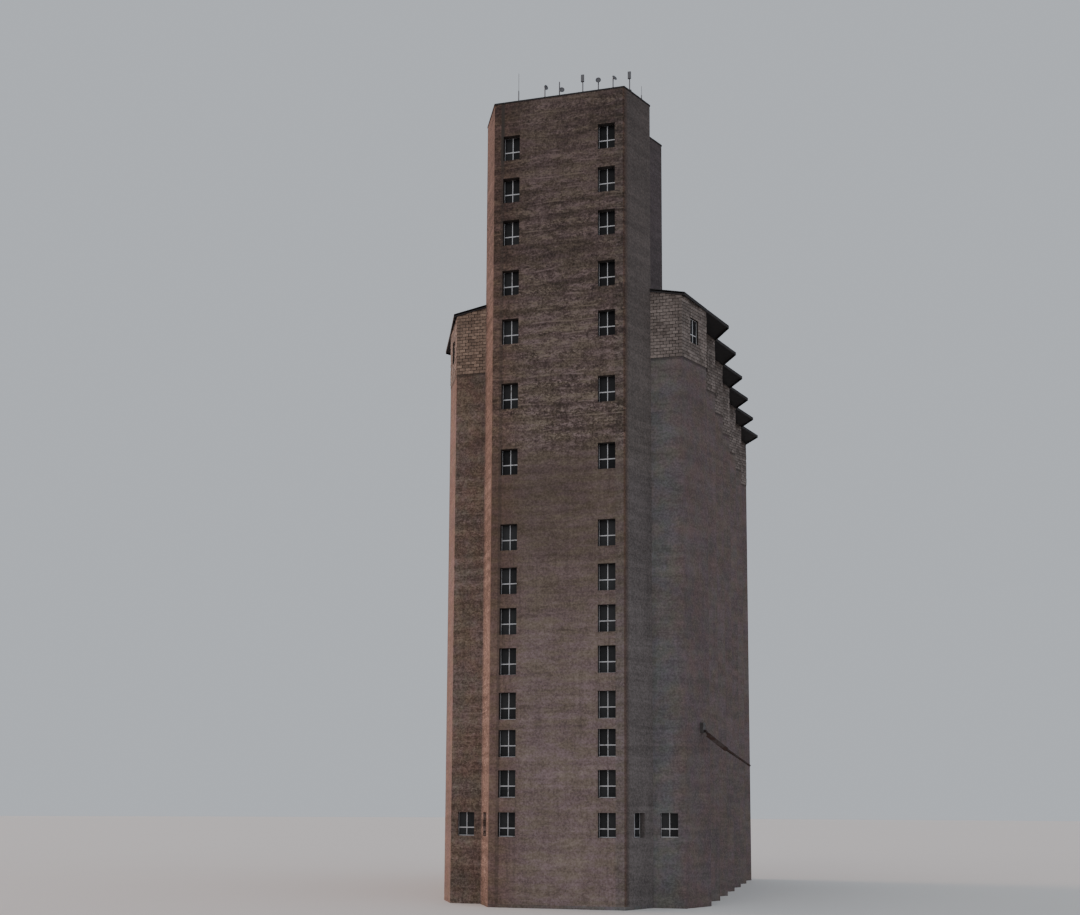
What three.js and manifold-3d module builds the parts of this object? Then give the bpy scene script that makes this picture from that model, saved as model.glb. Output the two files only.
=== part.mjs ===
// A concrete grain silo: a tall elevator tower, a block of tall storage cells with zig-zag walls,
// and a gallery of concrete blocks under a shallow gable roof. Millimetres, +Z up, front towards -Y.
// The building stands over fifty metres tall, so it is made at half its real size.

import * as THREE from 'three';
import Module from 'manifold-3d';

const wasm = await Module();
wasm.setup();

// One real metre at the model's scale of 1:2.
const metre = 500;
// Clear joint between neighbouring solids, in millimetres.
const joint = 0.3;

// Plan, in real metres: u to the right of the centre line, v back from the tower's front face.
const frontHalfWidth = 4.08;
const facetSpread = 1.2;
const facetDepth = 2.42;
const wingHalfWidth = 7.18;
const bayCount = 7;
const bodyDepth = facetDepth * (2 * bayCount + 1);
const planCentre = bodyDepth / 2;

// Heights above the ground, in real metres.
const slabTop = 0.2;
const cellTop = 33.12;
const deckThickness = 0.2;
const ridgeHeight = 38.52;
const roofFall = 0.195;
const roofThickness = 0.07;
const eaves = 0.1;
const tipEaves = 0;
const cornerEaves = 0.2;
const towerTop = 49.52;
const towerRoofThickness = 0.08;
const towerEaves = 0.03;

// Wall and floor thicknesses, in real metres.
const towerWall = 0.35;
const cellWall = 0.2;
const blockWall = 0.2;
const floorThickness = 0.18;

// Windows of the tower front: the height of each row's transom, top row first.
const transomHeights = [
  46.3, 43.54, 40.8, 37.59, 34.49, 30.43, 26.33, 21.7, 19.05, 16.61, 14.2, 11.55, 9.34, 6.97,
];
const windowOffset = 2.99;
const windowWidth = 1.05;
const belowTransom = 0.61;
const aboveTransom = 0.99;
const floorBelowTransom = 0.95;
const groundWindow = { sill: 4.08, head: 5.5, width: 1.05 };
const galleryWindow = { sill: 34.3, head: 35.84, width: 0.86 };
const towerJoints = [slabTop, 18.03, 33.12, towerTop - towerRoofThickness];

const concrete = { color: 0x8f877c, roughness: 0.9, metalness: 0 };
const towerConcrete = { color: 0x94897b, roughness: 0.9, metalness: 0 };
const block = { color: 0xb4aea4, roughness: 0.92, metalness: 0 };
const roofing = { color: 0x3b3836, roughness: 0.75, metalness: 0.2 };
const slab = { color: 0x7d7870, roughness: 0.95, metalness: 0 };
const rustySteel = { color: 0x70503a, roughness: 0.8, metalness: 0.5 };
const galvanised = { color: 0x9a9c9c, roughness: 0.5, metalness: 0.7 };
const whitePaint = { color: 0xd6d6d2, roughness: 0.5, metalness: 0 };

const group = new THREE.Group();
group.name = 'concrete_silo';

// A plan point in real metres, turned into model millimetres.
const place = ([u, v]) => [u * metre, (v - planCentre) * metre];
const mirrored = (points) => points.map(([u, v]) => [-u, v]).reverse();

// A closed prism over a counter-clockwise outline in millimetres. The bottom and the top can slope:
// each is a height, or a function of x.
function prism(outline, bottom, top) {
  const low = typeof bottom === 'function' ? bottom : () => bottom;
  const high = typeof top === 'function' ? top : () => top;
  const contour = outline.map(([x, y]) => new THREE.Vector2(x, y));
  const faces = THREE.ShapeUtils.triangulateShape(contour, []);
  const count = outline.length;
  const positions = [];
  for (const [x, y] of outline) positions.push(x, y, low(x));
  for (const [x, y] of outline) positions.push(x, y, high(x));
  const index = [];
  for (const [a, b, c] of faces) {
    index.push(a, c, b);
    index.push(a + count, b + count, c + count);
  }
  for (let i = 0; i < count; i += 1) {
    const next = (i + 1) % count;
    index.push(i, next, next + count);
    index.push(i, next + count, i + count);
  }
  return toManifold(positions, index);
}

function toManifold(positions, index) {
  const mesh = new wasm.Mesh({
    numProp: 3,
    vertProperties: new Float32Array(positions),
    triVerts: new Uint32Array(index),
  });
  mesh.merge();
  return new wasm.Manifold(mesh);
}

// A three.js primitive as a solid: its seams are closed by joining points that coincide.
function solidFrom(geometry) {
  const source = geometry.attributes.position;
  const seen = new Map();
  const positions = [];
  const lookup = [];
  for (let i = 0; i < source.count; i += 1) {
    const point = [source.getX(i), source.getY(i), source.getZ(i)];
    const key = point.map((value) => Math.round(value * 1000)).join(',');
    if (!seen.has(key)) {
      seen.set(key, positions.length / 3);
      positions.push(...point);
    }
    lookup.push(seen.get(key));
  }
  const index = [];
  for (let i = 0; i < geometry.index.count; i += 3) {
    const [a, b, c] = [0, 1, 2].map((k) => lookup[geometry.index.getX(i + k)]);
    if (a !== b && b !== c && c !== a) index.push(a, b, c);
  }
  return toManifold(positions, index);
}

function addNode(name, solid, look) {
  const mesh = solid.getMesh();
  const geometry = new THREE.BufferGeometry();
  geometry.setAttribute('position', new THREE.Float32BufferAttribute(mesh.vertProperties, 3));
  geometry.setIndex(new THREE.Uint32BufferAttribute(mesh.triVerts, 1));
  geometry.computeVertexNormals();
  const node = new THREE.Mesh(geometry, new THREE.MeshStandardMaterial(look));
  node.name = name;
  group.add(node);
}

// The inner face of a wall that follows a plan line. The line runs counter-clockwise round the
// building, so the inside is on its left; corners are mitred.
function innerLine(points, thickness, closed) {
  const count = points.length;
  return points.map((point, i) => {
    const before = points[(i - 1 + count) % count];
    const after = points[(i + 1) % count];
    const first = !closed && i === 0;
    const last = !closed && i === count - 1;
    const normals = [];
    if (!first) normals.push(leftNormal(before, point));
    if (!last) normals.push(leftNormal(point, after));
    const sum = [0, 1].map((k) => normals.reduce((total, n) => total + n[k], 0));
    const length = Math.hypot(...sum);
    const unit = sum.map((value) => value / length);
    const reach = thickness / (unit[0] * normals[0][0] + unit[1] * normals[0][1]);
    return [point[0] + unit[0] * reach, point[1] + unit[1] * reach];
  });
}

function leftNormal(from, to) {
  const length = Math.hypot(to[0] - from[0], to[1] - from[1]);
  return [-(to[1] - from[1]) / length, (to[0] - from[0]) / length];
}

function pulledIn(from, to, distance) {
  const length = Math.hypot(to[0] - from[0], to[1] - from[1]);
  return [0, 1].map((k) => from[k] + ((to[k] - from[k]) / length) * distance);
}

// The stretch of a wall between two of its plan points, as an outline in millimetres, with half a
// joint taken off each end.
function wallOutline(outer, inner, first, last) {
  const wrap = (i) => (i + outer.length) % outer.length;
  const out = [];
  const back = [];
  for (let i = first; i <= last; i += 1) {
    out.push(place(outer[wrap(i)]));
    back.push(place(inner[wrap(i)]));
  }
  const end = out.length - 1;
  for (const line of [out, back]) {
    const start = pulledIn(line[0], line[1], joint / 2);
    const finish = pulledIn(line[end], line[end - 1], joint / 2);
    line[0] = start;
    line[end] = finish;
  }
  return [...out, ...back.reverse()];
}

// A box that cuts a window through a wall: centred on a plan point, as wide as the opening along
// the wall's direction, and much deeper than the wall.
function windowCutter(centre, direction, width, sill, head) {
  const box = new THREE.BoxGeometry(width * metre, 1.2 * metre, (head - sill) * metre);
  box.rotateZ(Math.atan2(direction[1], direction[0]));
  const [x, y] = place(centre);
  box.translate(x, y, ((sill + head) / 2) * metre);
  return solidFrom(box);
}

function facetWindow(from, to, opening) {
  const centre = [(from[0] + to[0]) / 2, (from[1] + to[1]) / 2];
  const direction = [to[0] - from[0], to[1] - from[1]];
  return windowCutter(centre, direction, opening.width, opening.sill, opening.head);
}

function cut(solid, cutters) {
  return cutters.reduce((left, cutter) => left.subtract(cutter), solid);
}

function join(solids) {
  return solids.reduce((whole, solid) => whole.add(solid));
}

// Plan of the tower, counter-clockwise from its front left corner.
const towerSide = [0, 1, 2, 3, 4].map((i) => [
  frontHalfWidth + (i % 2) * facetSpread,
  i * facetDepth,
]);
const towerLine = [[-frontHalfWidth, 0], ...towerSide, ...mirrored(towerSide.slice(1))];
const towerInner = innerLine(towerLine, towerWall, true);
const towerRear = 4 * facetDepth;

// Plan of the storage cells: from the tower's right shoulder, round the back, to its left shoulder.
const cellSide = [];
for (let i = 1; i <= 2 * bayCount + 1; i += 1) {
  cellSide.push([wingHalfWidth + ((i + 1) % 2) * facetSpread, i * facetDepth]);
}
const shoulder = [frontHalfWidth + facetSpread, facetDepth];
const cellLine = [shoulder, ...cellSide, ...mirrored([shoulder, ...cellSide])];
const cellInner = innerLine(cellLine, cellWall, false);

// Ground slab under the whole building.
const footprint = [[-frontHalfWidth, 0], [frontHalfWidth, 0], ...cellLine];
addNode('ground_slab', prism(footprint.map(place), 0, slabTop * metre - joint), slab);

// Tower front, in three lifts, with its two columns of windows.
const frontOutline = wallOutline(towerLine, towerInner, 0, 1);
const liftNames = ['lower', 'middle', 'upper'];
const frontCutters = [];
for (const side of [-windowOffset, windowOffset]) {
  for (const height of transomHeights) {
    const sill = height - belowTransom;
    const head = height + aboveTransom;
    frontCutters.push(windowCutter([side, 0], [1, 0], windowWidth, sill, head));
  }
  const { width, sill, head } = groundWindow;
  frontCutters.push(windowCutter([side, 0], [1, 0], width, sill, head));
}
liftNames.forEach((name, i) => {
  const bottom = towerJoints[i] * metre;
  const top = towerJoints[i + 1] * metre - joint;
  const lift = cut(prism(frontOutline, bottom, top), frontCutters);
  addNode(`tower_front_wall_${name}`, lift, towerConcrete);
});

// Tower side facets and side walls, from the ground slab to the roof.
const towerHead = towerJoints[3] * metre - joint;
const towerSides = [
  { name: 'right', facet: [1, 2], wall: [2, 5] },
  { name: 'left', facet: [9, 10], wall: [6, 9] },
];
for (const { name, facet, wall } of towerSides) {
  const facetSolid = prism(wallOutline(towerLine, towerInner, ...facet), slabTop * metre, towerHead);
  const opening = facetWindow(towerLine[facet[0]], towerLine[facet[1] % 10], groundWindow);
  addNode(`tower_${name}_front_facet`, cut(facetSolid, [opening]), towerConcrete);
  const wallSolid = prism(wallOutline(towerLine, towerInner, ...wall), slabTop * metre, towerHead);
  addNode(`tower_${name}_side_wall`, wallSolid, towerConcrete);
}

// Tower rear wall with a floor for each row of windows, in the same three lifts.
const floorLine = innerLine(towerLine, towerWall + joint / metre, true);
floorLine[5] = [floorLine[5][0], towerRear - towerWall];
floorLine[6] = [floorLine[6][0], towerRear - towerWall];
const rearOutline = wallOutline(towerLine, towerInner, 5, 6);
liftNames.forEach((name, i) => {
  const bottom = towerJoints[i];
  const top = towerJoints[i + 1];
  const solids = [prism(rearOutline, bottom * metre, top * metre - joint)];
  for (const height of transomHeights) {
    const level = height - floorBelowTransom;
    if (level > bottom && level < top) {
      solids.push(prism(floorLine.map(place), (level - floorThickness) * metre, level * metre));
    }
  }
  addNode(`tower_rear_wall_and_floors_${name}`, join(solids), towerConcrete);
});

// Flat roof of the tower.
const towerRoofLine = innerLine(towerLine, -towerEaves, true);
addNode(
  'tower_roof',
  prism(towerRoofLine.map(place), (towerTop - towerRoofThickness) * metre, towerTop * metre),
  roofing,
);

// Cell walls: the fronts of the two wings, a chevron for each bay and the rear wall.
const deckBottom = (cellTop - deckThickness) * metre;
const cellBase = slabTop * metre;
const lastPoint = cellLine.length - 1;
const cellStretch = (first, last) =>
  prism(wallOutline(cellLine, cellInner, first, last), cellBase, deckBottom - joint);
const wingWindow = (first) => facetWindow(cellLine[first], cellLine[first + 1], groundWindow);
const wings = [
  { name: 'right', first: 0 },
  { name: 'left', first: lastPoint - 1 },
];
for (const { name, first } of wings) {
  const solid = cut(cellStretch(first, first + 1), [wingWindow(first)]);
  addNode(`wing_front_wall_${name}`, solid, concrete);
}
for (let bay = 1; bay <= bayCount; bay += 1) {
  const start = 2 * bay - 1;
  addNode(`cell_wall_right_${bay}`, cellStretch(start, start + 2), concrete);
  const finish = lastPoint - start;
  addNode(`cell_wall_left_${bay}`, cellStretch(finish - 2, finish), concrete);
}
const rearStart = 2 * bayCount + 1;
addNode('cell_rear_wall', cellStretch(rearStart, rearStart + 1), concrete);

// Deck on top of the cells, fitted round the tower.
const clearance = joint / metre;
const towerClear = innerLine(towerLine, -clearance, true);
const deckEdge = [...cellLine];
deckEdge[0] = [towerClear[2][0], facetDepth];
deckEdge[lastPoint] = [-towerClear[2][0], facetDepth];
const holeRight = towerClear.slice(3, 6);
const holeLeft = holeRight.map(([u, v]) => [-u, v]);
const deck = [...deckEdge, ...holeLeft, ...[...holeRight].reverse()];
addNode('gallery_floor', prism(deck.map(place), deckBottom, cellTop * metre - joint), concrete);

// Gallery walls of blocks, from the deck to the sloping underside of the roof.
const roofTop = (x) => ridgeHeight * metre - roofFall * Math.abs(x);
const roofUnder = (x) => roofTop(x) - roofThickness * metre;
const wallTop = (x) => roofUnder(x) - joint;
const blockInner = innerLine(cellLine, blockWall, false);
const galleryStretch = (first, last) =>
  prism(wallOutline(cellLine, blockInner, first, last), cellTop * metre, wallTop);
const galleryWindows = (first, last) => {
  const cutters = [];
  for (let i = first; i < last; i += 1) {
    cutters.push(facetWindow(cellLine[i], cellLine[i + 1], galleryWindow));
  }
  return cutters;
};
addNode('gallery_front_wall_right', galleryStretch(0, 1), block);
addNode('gallery_front_wall_left', galleryStretch(lastPoint - 1, lastPoint), block);
const gallerySides = [
  { name: 'right', first: 1, last: rearStart },
  { name: 'left', first: rearStart + 1, last: lastPoint - 1 },
];
for (const { name, first, last } of gallerySides) {
  const solid = cut(galleryStretch(first, last), galleryWindows(first, last));
  addNode(`gallery_wall_${name}`, solid, block);
}

// Rear gallery wall: two halves of one gable, joined at the ridge line.
const rearGable = wallOutline(cellLine, blockInner, rearStart, rearStart + 1);
const [gableRight, gableLeft, innerLeft, innerRight] = rearGable;
const halfGable = (side) => {
  const overlap = 1;
  const outline = side > 0
    ? [[-overlap, innerRight[1]], innerRight, gableRight, [-overlap, gableRight[1]]]
    : [[0, gableLeft[1]], gableLeft, innerLeft, [0, innerLeft[1]]];
  const slope = side > 0 ? (x) => wallTop(Math.max(x, 0)) : wallTop;
  return prism(outline, cellTop * metre, slope);
};
addNode('gallery_rear_wall', join([halfGable(1), halfGable(-1)]), block);

// Gallery roof: two slopes with zig-zag eaves. Each eaves line is the line of a wall facet carried
// on to a tip above the notch between two bays.
const eavesSide = [];
for (let i = 1; i <= 2 * bayCount + 1; i += 1) {
  const atEnd = i === 1 || i === 2 * bayCount + 1;
  const atTip = !atEnd && i % 2 === 1;
  const reach = atTip ? 2 * facetSpread + tipEaves : facetSpread + eaves;
  eavesSide.push([wingHalfWidth + (atEnd ? cornerEaves : reach), i * facetDepth]);
}
eavesSide[0][1] -= eaves;
eavesSide[2 * bayCount][1] += eaves;
const ridgeGap = joint / 2 / metre;
const roofRight = [
  [shoulder[0] + 2 * clearance, facetDepth - eaves],
  ...eavesSide,
  [ridgeGap, bodyDepth + eaves],
  [ridgeGap, towerRear + clearance],
  ...towerClear.slice(2, 6).reverse(),
];
const roofSlope = (outline) => prism(outline.map(place), roofUnder, roofTop);
addNode('gallery_roof_right', roofSlope(roofRight), roofing);
addNode('gallery_roof_left', roofSlope(mirrored(roofRight)), roofing);

// A shape that is drawn along its y axis, laid from one point to another, in millimetres.
function laid(from, to, shape) {
  const start = new THREE.Vector3(...from);
  const finish = new THREE.Vector3(...to);
  const direction = finish.clone().sub(start);
  const geometry = shape(direction.length());
  const turn = new THREE.Quaternion().setFromUnitVectors(
    new THREE.Vector3(0, 1, 0),
    direction.clone().normalize(),
  );
  geometry.applyQuaternion(turn);
  const middle = start.add(finish).multiplyScalar(0.5);
  geometry.translate(middle.x, middle.y, middle.z);
  return solidFrom(geometry);
}

function bar(from, to, radius, sides) {
  const round = (length) => new THREE.CylinderGeometry(radius, radius, length, sides);
  return laid(from, to, round);
}

function box(centre, size) {
  const geometry = new THREE.BoxGeometry(...size);
  geometry.translate(...centre);
  return solidFrom(geometry);
}

// Aerials on the tower roof. Each stands on a small foot plate; positions in real metres.
const roofLevel = towerTop * metre + joint;
function mast([u, v], height, radius) {
  const [x, y] = place([u, v]);
  const foot = box([x, y, roofLevel + 10], [120, 120, 20]);
  return foot.add(bar([x, y, roofLevel + 10], [x, y, roofLevel + height * metre], radius, 10));
}

// A shallow dish: a lathe profile closed on its axis. It faces the front, turned to the right by
// one angle and upwards by another.
function dish([u, v], height, radius, turn, rise) {
  const rim = radius * metre;
  const depth = rim * 0.35;
  const skin = 14;
  const profile = [
    [0, 0], [rim * 0.55, depth * 0.3], [rim, depth],
    [rim, depth + skin], [rim * 0.55, depth * 0.3 + skin], [0, skin],
  ];
  const lathe = new THREE.LatheGeometry(profile.map(([r, h]) => new THREE.Vector2(r, h)), 20);
  lathe.rotateX(Math.PI - rise);
  lathe.rotateZ(turn);
  const [x, y] = place([u, v]);
  lathe.translate(x, y, roofLevel + height * metre);
  const bowl = solidFrom(lathe);
  return bowl.volume() < 0 ? bowl.mirror([0, 0, 0]) : bowl;
}

// A whip aerial: a mast with a thin rod on its top.
const postRadius = 18;
const rodRadius = 7;
const whips = [
  { name: 'whip_aerial_left', at: [-2.65, 0.35], mastHeight: 0.87, height: 2.02 },
  { name: 'whip_aerial_right', at: [4.85, 1.92], mastHeight: 0.42, height: 1.02 },
];
for (const { name, at, mastHeight, height } of whips) {
  const [x, y] = place(at);
  const overlap = 20;
  const rodFoot = [x, y, roofLevel + mastHeight * metre - overlap];
  const rod = bar(rodFoot, [x, y, roofLevel + height * metre], rodRadius, 10);
  addNode(name, mast(at, mastHeight, postRadius).add(rod), galvanised);
}

// Dishes on posts: name, place, heights of the post and the dish, radius, how far the dish stands to
// the right of its post, turn and rise. A bracket reaches from the post into the dish's back.
const dishes = [
  ['small_dish_aerial', [-0.96, 0.35], 0.97, 0.79, 0.15, -0.02, 0.9, 0],
  ['dish_aerial_with_whip', [-0.03, 0.35], 1.08, 0.45, 0.17, 0.14, 0.3, 0.15],
  ['dish_aerial_right', [2.43, 0.35], 0.82, 0.75, 0.17, 0, 0.15, 0.1],
  ['tilted_dish_aerial', [3.35, 0.35], 0.82, 0.76, 0.17, 0, 0.85, 0.4],
];
const bracketRadius = 12;
for (const [name, at, post, centre, radius, beside, turn, rise] of dishes) {
  const [x, y] = place(at);
  const ahead = [Math.sin(turn), -Math.cos(turn)];
  const clear = (postRadius + 24) / metre;
  const bowlAt = [at[0] + beside + ahead[0] * clear, at[1] + ahead[1] * clear];
  const level = roofLevel + centre * metre;
  const [bowlX, bowlY] = place(bowlAt);
  const overlap = 7;
  const bracketEnd = [bowlX + ahead[0] * overlap, bowlY + ahead[1] * overlap, level];
  const bracket = bar([x, y, level], bracketEnd, bracketRadius, 10);
  const bowl = dish(bowlAt, centre, radius, turn, rise);
  addNode(name, join([mast(at, post, postRadius), bracket, bowl]), whitePaint);
}

// Flat panels on posts.
const panelHeight = 0.45;
const panels = [
  { name: 'panel_aerial_centre', at: [1.45, 0.35], height: 1.28 },
  { name: 'panel_aerial_right', at: [4.33, 0.62], height: 1.22 },
];
for (const { name, at, height } of panels) {
  const [x, y] = place(at);
  const middle = roofLevel + (height - panelHeight / 2) * metre;
  const panel = box([x, y - 38, middle], [100, 50, panelHeight * metre]);
  addNode(name, mast(at, height, postRadius).add(panel), whitePaint);
}

// Loading spout low on the first right-hand bay: a small outlet box on the wall, a bent pipe under
// it, and a square chute that slopes outwards and down to a thinner tapering pipe.
const facetDirection = new THREE.Vector2(facetSpread, facetDepth).normalize();
const outward = new THREE.Vector2(facetDirection.y, -facetDirection.x);
const spoutAlong = 0.66;
const spoutFoot = [wingHalfWidth + facetSpread * spoutAlong, facetDepth * (1 + spoutAlong)];
const boxWidth = 0.28;
const boxDepth = 0.2;
const boxLow = 10.29;
const boxHigh = 10.89;
const boxSize = [boxWidth, boxDepth, boxHigh - boxLow].map((size) => size * metre);
const boxShape = new THREE.BoxGeometry(...boxSize);
boxShape.rotateZ(Math.atan2(facetDirection.y, facetDirection.x));
const boxReach = boxDepth / 2 + clearance;
const boxCentre = place([spoutFoot[0] + outward.x * boxReach, spoutFoot[1] + outward.y * boxReach]);
boxShape.translate(...boxCentre, ((boxLow + boxHigh) / 2) * metre);
addNode('outlet_box', solidFrom(boxShape), rustySteel);

// A point out from the outlet box along its face's normal, then on to the right and down.
const faceReach = boxDepth + 2 * clearance;
const spoutPoint = (clear, right, height) => {
  const reach = faceReach + clear;
  const plan = [spoutFoot[0] + outward.x * reach + right, spoutFoot[1] + outward.y * reach];
  return [...place(plan), height * metre];
};
const stubHeight = 10.4;
const spoutClear = 0.12;
const elbow = spoutPoint(spoutClear, 0, stubHeight);
const chuteTop = spoutPoint(spoutClear, 0.1, 10.16);
const chuteEnd = spoutPoint(spoutClear, 1.22, 9.26);
const pipeStart = spoutPoint(spoutClear, 1.14, 9.33);
const pipeEnd = spoutPoint(spoutClear, 2.6, 8.29);
const chuteWidth = 135;
const bendRadius = 38;
const chuteRun = chuteEnd[0] - chuteTop[0];
const chuteRise = chuteEnd[2] - chuteTop[2];
const chute = new THREE.BoxGeometry(Math.hypot(chuteRun, chuteRise), chuteWidth, chuteWidth);
chute.rotateY(-Math.atan2(chuteRise, chuteRun));
chute.translate(chuteTop[0] + chuteRun / 2, chuteTop[1], chuteTop[2] + chuteRise / 2);
const taperedPipe = (length) => new THREE.CylinderGeometry(26, 44, length, 16);
addNode(
  'loading_spout',
  join([
    bar(spoutPoint(0, 0, stubHeight), elbow, bendRadius, 16),
    bar(elbow, spoutPoint(spoutClear, 0.16, 10.1), bendRadius, 16),
    solidFrom(chute),
    laid(pipeStart, pipeEnd, taperedPipe),
  ]),
  rustySteel,
);

export default group;
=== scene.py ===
"""Concrete grain silo at half size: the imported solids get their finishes, and the small work is added."""

import math
import random

import bmesh
import bpy
from bpy.props import FloatProperty, FloatVectorProperty, IntProperty, PointerProperty
from mathutils import Matrix, Vector


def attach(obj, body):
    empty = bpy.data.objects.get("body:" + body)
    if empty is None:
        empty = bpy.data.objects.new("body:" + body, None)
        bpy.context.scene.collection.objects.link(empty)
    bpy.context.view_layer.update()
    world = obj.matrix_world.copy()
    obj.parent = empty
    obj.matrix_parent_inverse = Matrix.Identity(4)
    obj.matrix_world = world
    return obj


bl_info = {
    "name": "Concrete silo",
    "version": (1, 0, 0),
    "blender": (4, 5, 0),
    "location": "3D View > Sidebar > Silo",
    "description": "Finishes, windows, blockwork and roofing of a concrete grain silo",
    "category": "Object",
}

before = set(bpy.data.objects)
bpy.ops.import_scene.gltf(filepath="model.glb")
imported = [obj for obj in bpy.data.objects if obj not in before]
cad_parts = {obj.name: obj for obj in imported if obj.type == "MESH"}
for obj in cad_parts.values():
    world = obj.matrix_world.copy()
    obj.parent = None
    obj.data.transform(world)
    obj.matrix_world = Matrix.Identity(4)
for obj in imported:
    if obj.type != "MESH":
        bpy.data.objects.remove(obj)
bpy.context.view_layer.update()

# One real metre at the model's scale of 1:2. Plan and heights below are in real metres.
METRE = 0.5
FRONT_HALF_WIDTH = 4.08
FACET_SPREAD = 1.2
FACET_DEPTH = 2.42
WING_HALF_WIDTH = 7.18
BAY_COUNT = 7
BODY_DEPTH = FACET_DEPTH * (2 * BAY_COUNT + 1)
CELL_TOP = 33.12
RIDGE_HEIGHT = 38.52
ROOF_FALL = 0.195
ROOF_THICKNESS = 0.07
ROOF_FRONT = FACET_DEPTH - 0.1
ROOF_REAR = BODY_DEPTH + 0.12
TOWER_TOP = 49.52
TOWER_DEPTH = 4 * FACET_DEPTH
TRANSOM_HEIGHTS = (
    46.3, 43.54, 40.8, 37.59, 34.49, 30.43, 26.33, 21.7, 19.05, 16.61, 14.2, 11.55, 9.34, 6.97,
)
WINDOW_OFFSET = 2.99
BELOW_TRANSOM = 0.61
ABOVE_TRANSOM = 0.99
TRANSOM_LIFT = 0.07
GROUND_SILL = 4.08
GROUND_TRANSOM = 4.58
GROUND_HEAD = 5.5
GALLERY_SILL = 34.3
GALLERY_TRANSOM = 34.86
GALLERY_HEAD = 35.84
TOWER_WALL = 0.35
CELL_WALL = 0.2

# Places in the model and the height of a lift, in metres at its own size, for the materials.
FRONT_FACE = -BODY_DEPTH / 2 * METRE
WING_FACE = FRONT_FACE + FACET_DEPTH * METRE
REAR_FACE = -FRONT_FACE
TOWER_LEFT = -FRONT_HALF_WIDTH * METRE
LIFT_HEIGHT = 0.42

# In the cells' plan, the rear wall is the line that comes after the right side's facets.
REAR_WALL = 2 * BAY_COUNT + 1

# No joint is nearer to a wall's end than the first of these, and cut blocks under the next two are
# left out. The unit block is 1 m, with bevels ten times too big.
NEAREST_JOINT = 0.05
SHORTEST_BLOCK = 0.03
LOWEST_BLOCK = 0.02
BEVEL_SCALE = 0.1


def spot(u, v, height=0.0):
    """A place in the model: u right of the centre line, v back from the tower's face, in real metres."""
    return Vector((u * METRE, (v - BODY_DEPTH / 2) * METRE, height * METRE))


def mirrored(points):
    return [(-u, v) for u, v in reversed(points)]


def cell_line():
    """The plan of the cells, from the tower's right shoulder round the back to its left one."""
    side = [(FRONT_HALF_WIDTH + FACET_SPREAD, FACET_DEPTH)]
    for i in range(1, REAR_WALL + 1):
        side.append((WING_HALF_WIDTH + ((i + 1) % 2) * FACET_SPREAD, i * FACET_DEPTH))
    return side + mirrored(side)


def tower_line():
    side = [(FRONT_HALF_WIDTH + (i % 2) * FACET_SPREAD, i * FACET_DEPTH) for i in range(5)]
    return [(-FRONT_HALF_WIDTH, 0.0)] + side + mirrored(side[1:])


# Selection and modelling helpers.


def rest():
    if bpy.context.object and bpy.context.object.mode != "OBJECT":
        bpy.ops.object.mode_set(mode="OBJECT")
    bpy.ops.object.select_all(action="DESELECT")


def begin(add, name, **settings):
    """Adds a primitive by itself in the selection, with its place in its mesh."""
    rest()
    add(**settings)
    piece = bpy.context.object
    piece.name = name
    piece.data.name = name
    bpy.ops.object.transform_apply(location=True, rotation=True, scale=True)
    return piece


def choose(piece):
    rest()
    bpy.context.view_layer.objects.active = piece
    piece.select_set(True)


def edit(piece):
    choose(piece)
    bpy.ops.object.mode_set(mode="EDIT")


def edit_all(piece):
    edit(piece)
    bpy.ops.mesh.select_all(action="SELECT")


def cut(place, normal):
    """Cuts all of the piece in edit mode along a plane."""
    bpy.ops.mesh.select_all(action="SELECT")
    bpy.ops.mesh.bisect(plane_co=place, plane_no=normal)


def pick_faces(piece, test):
    """Selects the faces whose middle and normal pass a test."""
    bpy.ops.mesh.select_mode(type="FACE")
    mesh = bmesh.from_edit_mesh(piece.data)
    for face in mesh.faces:
        face.select_set(bool(test(face.calc_center_median(), face.normal)))
    mesh.select_flush_mode()
    bmesh.update_edit_mesh(piece.data)


def apply(piece, kind, **settings):
    """Adds a modifier and applies it."""
    choose(piece)
    modifier = piece.modifiers.new(kind.lower(), kind)
    for key, value in settings.items():
        setattr(modifier, key, value)
    bpy.ops.object.modifier_apply(modifier=modifier.name)


def joined(name, pieces):
    choose(pieces[0])
    for piece in pieces[1:]:
        piece.select_set(True)
    bpy.ops.object.join()
    whole = bpy.context.object
    whole.name = name
    whole.data.name = name
    return whole


def repeated(base, name, places):
    """One mesh of many copies of a piece. Each place is a function of a vertex's position, or a matrix."""
    points = [vert.co.copy() for vert in base.data.vertices]
    faces = [tuple(face.vertices) for face in base.data.polygons]
    positions = []
    corners = []
    for number, place in enumerate(places):
        start = number * len(points)
        positions.extend(place @ p if isinstance(place, Matrix) else place(p) for p in points)
        corners.extend(tuple(start + i for i in face) for face in faces)
    mesh = bpy.data.meshes.new(name)
    mesh.from_pydata(positions, [], corners)
    mesh.update()
    whole = bpy.data.objects.new(name, mesh)
    bpy.context.scene.collection.objects.link(whole)
    bpy.data.objects.remove(base)
    return whole


def finished(piece, material):
    piece.data.materials.clear()
    piece.data.materials.append(material)
    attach(piece, "root")


def facing(start, end, height, back=0.0):
    """Turns a thing drawn in the XZ plane, front towards -Y, to stand on a wall facet's middle."""
    along = (Vector(end) - Vector(start)).normalized()
    middle = (Vector(start) + Vector(end)) / 2
    inward = Vector((-along.y, along.x))
    place = spot(middle.x + inward.x * back, middle.y + inward.y * back, height)
    turn = math.atan2(along.y, along.x)
    return Matrix.Translation(place) @ Matrix.Rotation(turn, 4, "Z")


# Shader maths.


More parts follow.
